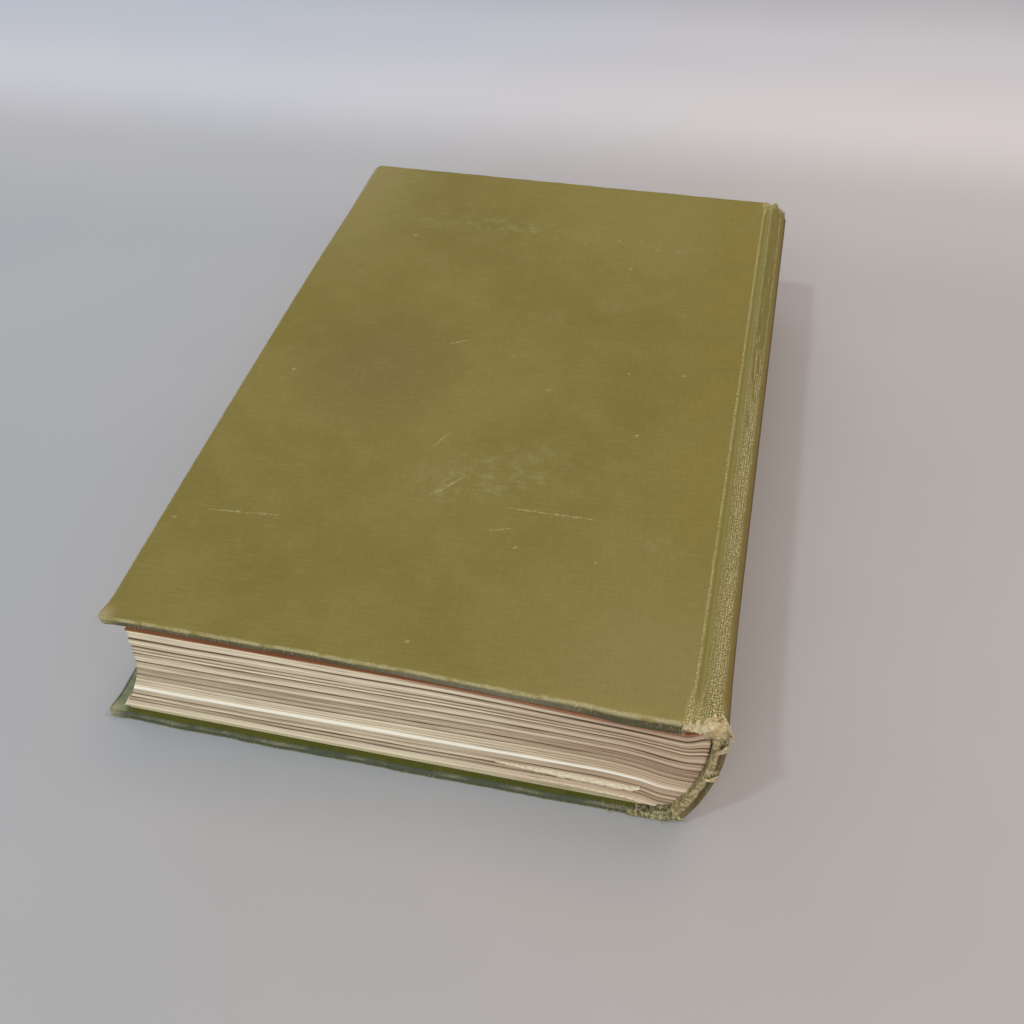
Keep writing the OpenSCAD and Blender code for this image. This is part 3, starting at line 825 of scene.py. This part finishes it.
tail_patch = times(between(ragged_v, -95, -99), strip(rippled, 131.8, 139.3, 0.5), between(edge, 3.2, 2.4))
head_patch = times(between(ragged_v, 97.5, 101), strip(rippled, 132.2, 140.5, 0.6))
colour = lay(colour, (112, 97, 50), strip(x, 136.0, 138.8, 0.6), over_joint, 0.6)
colour = lay(colour, (137, 126, 70), strip(x, 132.9, 135.7, 0.4), over_joint, 0.85)
worn = times(any_of(line_1, line_2, band, line_3, tail_patch, head_patch), over_joint)
break_1 = strip(u, u_shoulder + 1.5, u_shoulder + 4, 0.8)
break_2 = strip(u, u_shoulder + 14, u_shoulder + 17, 0.8)
breaks = times(any_of(break_1, break_2), strip(edge, -2.5, 2.6, 0.5), between(v, -98, -101))
worn = times(any_of(worn, breaks), between(woven, 0.15, 0.8))
worn = times(worn, scaled(between(noise(place, 1.6, 3.0, 0.7), 0.38, 0.6), 0.7, 0.3))
colour = lay(colour, (206, 190, 142), worn, 0.9)


# Smears, scratches and specks: the middle, half length, half width, turn and raggedness of each
def all_marks(rows):
    return any_of(*[grouped(mark, place, *row) for row in rows])


smears = [
    ((48, 72, 0), 36.0, 7.0, 0.0, 6.0), ((58, 73, 0), 8.0, 5.0, 0.0, 4.0),
    ((108, 69, 0), 14.0, 3.0, 0.0, 4.0), ((120, -56, 0), 9.0, 5.0, -0.25, 3.0),
    ((75, -40, 0), 30.0, 12.0, 0.4, 12.0),
]
scratches = [
    ((20, -65, 0), 11.0, 0.35, 0.08, 1.2), ((54, 11, 0), 4.0, 0.3, 0.5, 1.0),
    ((66, -46, 0), 7.0, 0.3, 0.85, 2.0), ((94, -50.5, 0), 15.0, 0.3, 0.0, 1.4),
    ((60, -30, 0), 5.0, 0.25, 1.2, 1.5), ((82, -58, 0), 4.0, 0.25, 0.3, 1.0),
]
specks = [
    (26, 62), (70.5, 7.5), (103, 6), (83, -5), (109, -18.5), (87, -63), (80, 67.5), (96, 56), (118, 8),
    (106, -64), (70, -95), (12, -10), (3.5, -70), (90, 71),
]
smeared = times(all_marks(smears), between(noise(place, 0.3, 5.0, 0.7), 0.45, 0.75))
colour = lay(colour, (160, 151, 112), smeared, 0.45)
scratched = all_marks(scratches + [((*speck, 0), 0.7, 0.5, 0.3, 0.5) for speck in specks])
broken = between(noise(place, 1.1, 3.0, 0.7), 0.38, 0.6)
colour = lay(colour, (184, 174, 128), between(scratched, 0.0, 0.6), broken, 0.5)
paint(shader, colour, scaled(woven, 0.5, times(threads, 0.5)), 0.35, 0.00015)
for piece in (top_cloth, spine_piece, low_cloth):
    dress(piece, look)


# Frayed ends of the cloth
# Where the cloth is worn through, its cotton comes apart: a torn tuft at the tail of the joint, a matted
# fringe at the foot of the spine, breaks on the rolled edge and loose threads, all still held by the cloth.
def scrap(name, rows, seed, lumps):
    """A ragged bit of cloth from rows of points, with lumps of a given height."""
    grid = np.array(rows, float)
    draw = np.random.default_rng(seed)
    rough = draw.normal(0, 1, grid.shape)
    soft = (rough + np.roll(rough, 1, 1) + np.roll(rough, 1, 0)) / 1.7
    grid += soft * lumps * np.linspace(0.15, 1, len(grid))[:, None, None]
    count, cols = grid.shape[:2]
    tones = {"tone": draw.uniform(0, 1, count * cols)}
    return solid(name, grid.reshape(-1, 3), grid_faces(count, cols), tones)


def loose_ends(name, roots, ways, lengths, seed, thick=0.055):
    """Thin curled threads from their roots."""
    draw = np.random.default_rng(seed)
    points, faces, tones = [], [], []
    shares = np.array([0, 0.25, 0.5, 0.75, 1.0])
    for root, way, length in zip(roots, ways, lengths):
        way = np.array(way, float) / np.linalg.norm(way)
        bend = draw.normal(0, 0.35, 3)
        line = np.array(root) + length * (shares[:, None] * way + shares[:, None] ** 2 * bend)
        side = np.cross(way, (0.3, 0.5, 0.8))
        side /= np.linalg.norm(side)
        other = np.cross(way, side)
        tone = draw.uniform(0, 1)
        first = len(points)
        for k, p in enumerate(line):
            r = thick * (1 - 0.6 * shares[k])
            for a in (0, 2.1, 4.2):
                points.append(p + r * (math.cos(a) * side + math.sin(a) * other))
                tones.append(tone)
        for k in range(len(shares) - 1):
            for a in range(3):
                b = (a + 1) % 3
                low, up = first + 3 * k, first + 3 * k + 3
                faces.append((low + a, low + b, up + b, up + a))
    return solid(name, points, faces, {"tone": tones})


def u_over(x):
    """The place along the top of the cloth that lies over x."""
    top = (fine_u > 0) & (fine_u < u_shoulder)
    return np.interp(np.asarray(x, float) + fore_high, path[0][top], fine_u[top])


tail = -half_h
cols = np.linspace(0, 1, 44)
draw = np.random.default_rng(3)
u = u_over(131.6 + 8.8 * cols)
shares = [0, 0.15, 0.3, 0.42, 0.54, 0.66, 0.78, 0.9, 1]
low_x = [131.2, 132.8, 134.4, 136.0, 137.4, 138.5, 139.7, 141.0, 141.6]
low_z = [39.6, 39.0, 39.4, 38.8, 37.6, 37.9, 38.2, 39.0, 39.6]
low_x = fore_high + np.interp(cols, shares, low_x)
low_z = np.interp(cols, shares, low_z) + draw.uniform(-0.4, 0.4, len(cols))
reach_back = 0.4 + 1.6 * ease(cols / 0.7) * ease((1 - cols) / 0.2) + 0.7 * wobble(cols, 8, 0.15)
over = [on_case(u, tail + reach_back * back, -0.08) for back in (1.0, 0.65, 0.35, 0.15)]
lip = on_case(u, tail, 0.3) - [0, 0.3, 0]
low = np.stack([low_x, tail - 0.9 + draw.uniform(-0.15, 0.25, len(cols)), low_z], axis=1)
down = [lip + (low - lip) * share - [0, 0.3 * math.sin(3.14 * share), 0] for share in (0.35, 0.7, 1.0)]
tuft = scrap("joint_tuft", over + [lip] + down + [low + [0, 0.45, 0.15], low + [0, 0.7, 0.8]], 5, 0.13)

flap_line = np.array([[139.3, 2.2, 42.75], [139.9, 1.0, 42.5], [140.6, 0.2, 41.9], [141.2, -0.4, 40.9],
                      [141.7, -0.8, 39.8], [141.9, -0.9, 38.8]])
steps = np.linspace(0, 1, 9)
given = np.linspace(0, 1, len(flap_line))
flap_line = np.stack([np.interp(steps, given, flap_line[:, k]) for k in range(3)], axis=1)
flap_line += [fore_high, tail, 0]
flap_rows = [flap_line + np.array([w * 0.75, -0.55 * w, 0.25 * w]) for w in (-0.7, -0.3, 0.1, 0.6)]
flap = scrap("torn_flap", flap_rows, 6, 0.07)

breaks = []
down_roll = ((1.2, -0.1, 0.5), (0.5, -0.1, 0.9), (-0.15, 0.1, 1.1), (-0.2, 0.7, 0.9), (-0.22, 1.3, 0.6),
             (-0.2, 1.9, 0.8), (-0.1, 2.4, 1.1))
for k, share in enumerate((0.16, 0.46)):
    middle = u_shoulder + (u_foot - u_shoulder) * share
    rows = []
    for back, d, lean in down_roll:
        u = middle + 0.9 * (d - 1) + np.linspace(-1.3, 1.3, 12) * lean
        rows.append(on_case(u, tail + back, d))
    breaks.append(scrap("worn_break_" + str(k), rows, 11 + k, 0.14))

cols = np.linspace(121.5, 134.6, 60)
low_z = np.interp(cols, [121, 130, 132, 134.8], [0.12, 0.15, 0.8, 2.3])
places = [121.5, 123.6, 125, 127, 129, 130.5, 132, 134.6]
high_z = np.interp(cols, places, [1.6, 2.6, 2.8, 3.0, 4.4, 5.2, 4.6, 3.4])
high_z = high_z + 0.35 * wobble(cols, 91, 1.5)
round_edge = ((0, 0.1), (0.15, -0.25), (0.35, -0.5), (0.55, -0.55), (0.75, -0.5), (0.9, -0.25), (1.0, 0.1),
              (1.0, 0.9), (0.95, 1.8))
fringe_rows = []
for share, out in round_edge:
    z = low_z + (high_z - low_z) * share
    fringe_rows.append(np.stack([cols + fore_high, tail + out + 0 * cols, z], axis=1))
fringe = scrap("matted_fringe", fringe_rows, 17, 0.16)

draw = np.random.default_rng(23)


def hairs_on(count, us, vs, ds, way, spread, lengths):
    """Roots on the case cloth with directions and lengths."""
    roots = on_case(draw.uniform(*us, count), draw.uniform(*vs, count), draw.uniform(*ds, count))
    ways = np.array(way) + draw.normal(0, spread, (count, 3))
    return roots, ways, draw.uniform(*lengths, count)


def together(*sets):
    return [np.concatenate(parts) for parts in zip(*sets)]


ends = (tail - 0.1, tail + 0.1)
at_tail = (tail - 0.2, tail + 1.5)
on_top = together(
    hairs_on(150, (0, u_board), ends, (0.1, 1.2), (0, -1, -0.3), 0.5, (0.3, 0.8)),
    hairs_on(25, (-0.3, 2.0), at_tail, (0.1, 2.0), (-1, -0.6, 0), 0.5, (0.4, 0.9)),
    hairs_on(20, (126, u_board), ends, (0.4, 2.4), (0, -1, -0.6), 0.5, (0.5, 1.2)),
)
top_hairs = loose_ends("loose_ends_top", *on_top, 31, 0.045)
shoulder, outermost = (u_crest - 1, u_crest + 4.5), (u_crest + 3, u_crest + 5)
past_tail, at_head = (tail - 0.5, tail + 0.3), (half_h - 1, half_h)
on_back = together(
    hairs_on(40, shoulder, (tail - 0.7, tail + 0.4), (0, 2.5), (0.3, -0.8, -0.6), 0.6, (0.6, 2.0)),
    hairs_on(7, outermost, past_tail, (0, 0.8), (1.0, -0.35, 0.05), 0.3, (2.0, 3.6)),
    hairs_on(40, (u_shoulder + 1, u_foot), ends, (0, 3.0), (0.6, -0.8, 0), 0.5, (0.4, 1.1)),
    hairs_on(12, (u_crest + 1, u_crest + 5), at_head, (0, 1.0), (0.6, 0.8, 0), 0.5, (0.5, 1.4)),
)
spine_hairs = loose_ends("loose_ends_spine", *on_back, 32, 0.05)
underneath = together(
    hairs_on(110, (u_foot + 2, u_low_board + 8), ends, (0.3, 4.5), (-0.2, -1, 0.25), 0.55, (0.5, 1.4)),
    hairs_on(60, (u_low_board, u_end), ends, (1.2, 2.4), (0, -1, 0.3), 0.5, (0.3, 0.7)),
    hairs_on(25, (u_end - 2, u_end + 0.3), at_tail, (0.5, 2.4), (-1, -0.6, 0.2), 0.5, (0.4, 0.9)),
)
low_hairs = loose_ends("loose_ends_bottom", *underneath, 33, 0.045)

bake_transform(tuft)
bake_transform(fringe)
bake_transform(low_hairs)
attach(flap, "text_block")
for piece in breaks + [spine_hairs]:
    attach(piece, "text_block")
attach(top_hairs, "top_cover")

fray, tree, shader = material("frayed_cotton", 0.9, 0.1)
place = millimetres(tree)
knots = noise(place, 1.3, 4.0, 0.7)
fibres = noise(place, 3.2, 3.0, 0.75)
colour = mottle(knots, 0.35, 0.65, (178, 154, 106), (230, 208, 164))
colour = lay(colour, (184, 138, 78), between(noise(place, 0.5, 3.0), 0.5, 0.62), 0.7)
colour = lay(colour, (118, 96, 54), between(knots, 0.4, 0.28), 0.7)
colour = lay(colour, (232, 218, 180), stored(tree, "tone"), 0.2)
colour = lay(colour, (246, 232, 196), between(fibres, 0.52, 0.66), 0.6)
colour = lay(colour, (128, 106, 62), between(fibres, 0.44, 0.32), 0.6)
paint(shader, colour, sums("ADD", fibres, knots), 0.9, 0.0004)
for piece in breaks + [tuft, flap, spine_hairs, top_hairs, low_hairs]:
    dress(piece, fray)

matted, tree, shader = material("matted_cotton", 0.9, 0.1)
place = millimetres(tree)
knots = noise(place, 1.1, 4.0, 0.7)
colour = mottle(knots, 0.38, 0.62, (92, 84, 52), (182, 168, 128))
colour = lay(colour, (88, 90, 50), between(noise(place, 0.45, 2.0), 0.55, 0.65), 0.6)
paint(shader, colour, knots, 0.9, 0.0004)
dress(fringe, matted)


# Boards, card, mull and endpapers
# They stay as the CAD made them: grey millboard, brown lining paper and card, open cotton mull that is
# stiff with old glue, red-brown endpapers under the top cover and cream ones over the bottom one.
def plain(name, main, other, roughness, grain, pitch=0.0):
    """Paper or card in two mottled tones, with a fine grain, or mull with the pitch of its open weave."""
    look, tree, shader = material(name, roughness, 0.2)
    place = own_place(tree)
    height = small = noise(place, grain, 3.0)
    colour = mottle(noise(place, 30.0, 4.0), 0.35, 0.7, main, other)
    colour = lay(colour, other, between(small, 0.5, 0.7), 0.3)
    if pitch:
        cloth = grouped(weave, millimetres(tree), pitch)
        colour = lay(colour, (120, 96, 64), between(cloth, 0.3, 0.1), 0.6)
        height = sums("ADD", small, cloth)
    paint(shader, colour, height, 0.4, 0.0001)
    return look


looks = {
    "board": plain("millboard", (152, 142, 122), (132, 120, 98), 0.9, 900.0),
    "inlay": plain("spine_card", (150, 132, 104), (126, 106, 80), 0.9, 900.0),
    "lining": plain("lining_paper", (166, 136, 98), (128, 98, 66), 0.85, 1200.0),
    "mull": plain("glued_mull", (214, 200, 168), (186, 166, 124), 0.9, 900.0, 1.3),
    "top_fly": plain("brown_endpaper", (170, 114, 78), (157, 102, 69), 0.7, 1500.0),
    "low_fly": plain("cream_endpaper", (214, 198, 166), (196, 174, 134), 0.8, 1500.0),
}
for node, key in {
    "top_board": "board", "bottom_board": "board", "spine_inlay": "inlay", "spine_lining": "lining",
    "spine_mull": "mull", "top_mull_flange": "mull", "bottom_mull_flange": "mull", "top_flyleaf": "top_fly",
    "top_pastedown": "top_fly", "bottom_flyleaf": "low_fly", "bottom_pastedown": "low_fly",
}.items():
    dress(bpy.data.objects[node], looks[key])


def hinge_paper(name, line, look):
    """The strip of an endpaper between its pasted and its loose half, as it lies with the cover closed."""
    steps = np.linspace(0, 1, 13)
    line = np.array(line)
    bent = [np.interp(steps, np.linspace(0, 1, len(line)), line[:, k]) for k in (0, 1)]
    ys = np.linspace(-100.4, 100.4, 3)
    points = [(x, y, z) for x, z in zip(*bent) for y in ys]
    faces = [(3 * i + j, 3 * i + j + 1, 3 * i + j + 4, 3 * i + j + 3) for i in range(12) for j in range(2)]
    made = solid(name, points, faces)
    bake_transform(made)
    dress(made, look)


top_line = [(-0.35, 40.95), (-0.05, 40.2), (0.12, 39.0), (0.2, 37.8), (0.1, 36.9)]
low_line = [(-0.35, 1.3), (0.3, 1.45), (1.0, 1.65), (1.7, 1.9)]
top_line = [(top_ridge + x, z) for x, z in top_line]
low_line = [(low_ridge + x, z) for x, z in low_line]
hinge_paper("top_hinge_paper", top_line, looks["top_fly"])
hinge_paper("bottom_hinge_paper", low_line, looks["low_fly"])


# Lights and floor
# A pale grey floor under soft light: a key lamp from the front left that casts the soft shadow to the right
# of the spine, a broad fill from the front, a faint warm one from behind, and an even sky.
floor_mesh = bpy.data.meshes.new("floor")
reach = 3.0
floor_mesh.from_pydata(
    [(-reach, -reach, 0), (reach, -reach, 0), (reach, reach, 0), (-reach, reach, 0)], [], [(0, 1, 2, 3)]
)
floor = bpy.data.objects.new("floor", floor_mesh)
bpy.context.scene.collection.objects.link(floor)
ground, tree, shader = material("pale_grey_floor", 0.9, 0.1)
place = own_place(tree)
across = parted(place)
away = scaled(across[0], -0.04, across[1])
spread = add("ShaderNodeMapRange", {"Value": away, "From Min": 0.0, "From Max": 0.5}).outputs[0]
# Greys by how many millimetres behind the book's middle they lie: painted light, darker near the book,
# brightest in a band about 245 mm behind it and darker again farther back
painted_light_greys = [
    (110, (177, 173, 171)), (175, (186, 180, 177)), (245, (209, 203, 203)), (310, (197, 194, 198)),
    (400, (174, 173, 178)),
]
grey = ramp(spread, [(y / 500, shade) for y, shade in painted_light_greys], "EASE")
# Painted light: a cooler tint at the left and a warmer one at the right
painted_light_tint = blend(between(across[0], -0.2, 0.15), (0.905, 0.975, 1.05, 1), (1.05, 1.01, 0.98, 1))
grey = blend(1.0, grey, painted_light_tint, "MULTIPLY")
pinker = blend(0.08, grey, tint(212, 200, 198))
paint(shader, blend(between(noise(place, 9.0), 0.35, 0.7), grey, pinker))
# It isn't seen from below
hole = add("ShaderNodeBsdfTransparent", {}, tree)
behind = add("ShaderNodeNewGeometry", {}, tree).outputs["Backfacing"]
seen = add("ShaderNodeMixShader", {0: behind, 1: shader.outputs[0], 2: hole.outputs[0]})
tree.links.new(seen.outputs[0], tree.nodes["Material Output"].inputs["Surface"])
dress(floor, ground)

lamps = (
    ("key", (-16, -19.5, 42), 0.52, 4, (0.66, 0.9, 1.0)),
    ("fill", (2, -30, 20), 1.5, 50, (0.95, 0.97, 1.0)),
    ("back", (9, 14, 42), 0.66, 30, (1.0, 0.68, 0.42)),
)
for name, towards, strength, spread, colour in lamps:
    lamp = bpy.data.lights.new(name, "SUN")
    lamp.energy = strength
    lamp.angle = math.radians(spread)
    lamp.color = colour
    hung = bpy.data.objects.new(name, lamp)
    hung.rotation_euler = Vector(towards).to_track_quat("Z", "Y").to_euler()
    bpy.context.scene.collection.objects.link(hung)
world = bpy.data.worlds.new("sky")
world.use_nodes = True
sky = world.node_tree.nodes["Background"]
sky.inputs[0].default_value = (0.45, 0.485, 0.525, 1)
sky.inputs[1].default_value = 1.0
bpy.context.scene.world = world
bpy.context.scene.view_settings.view_transform = "Standard"
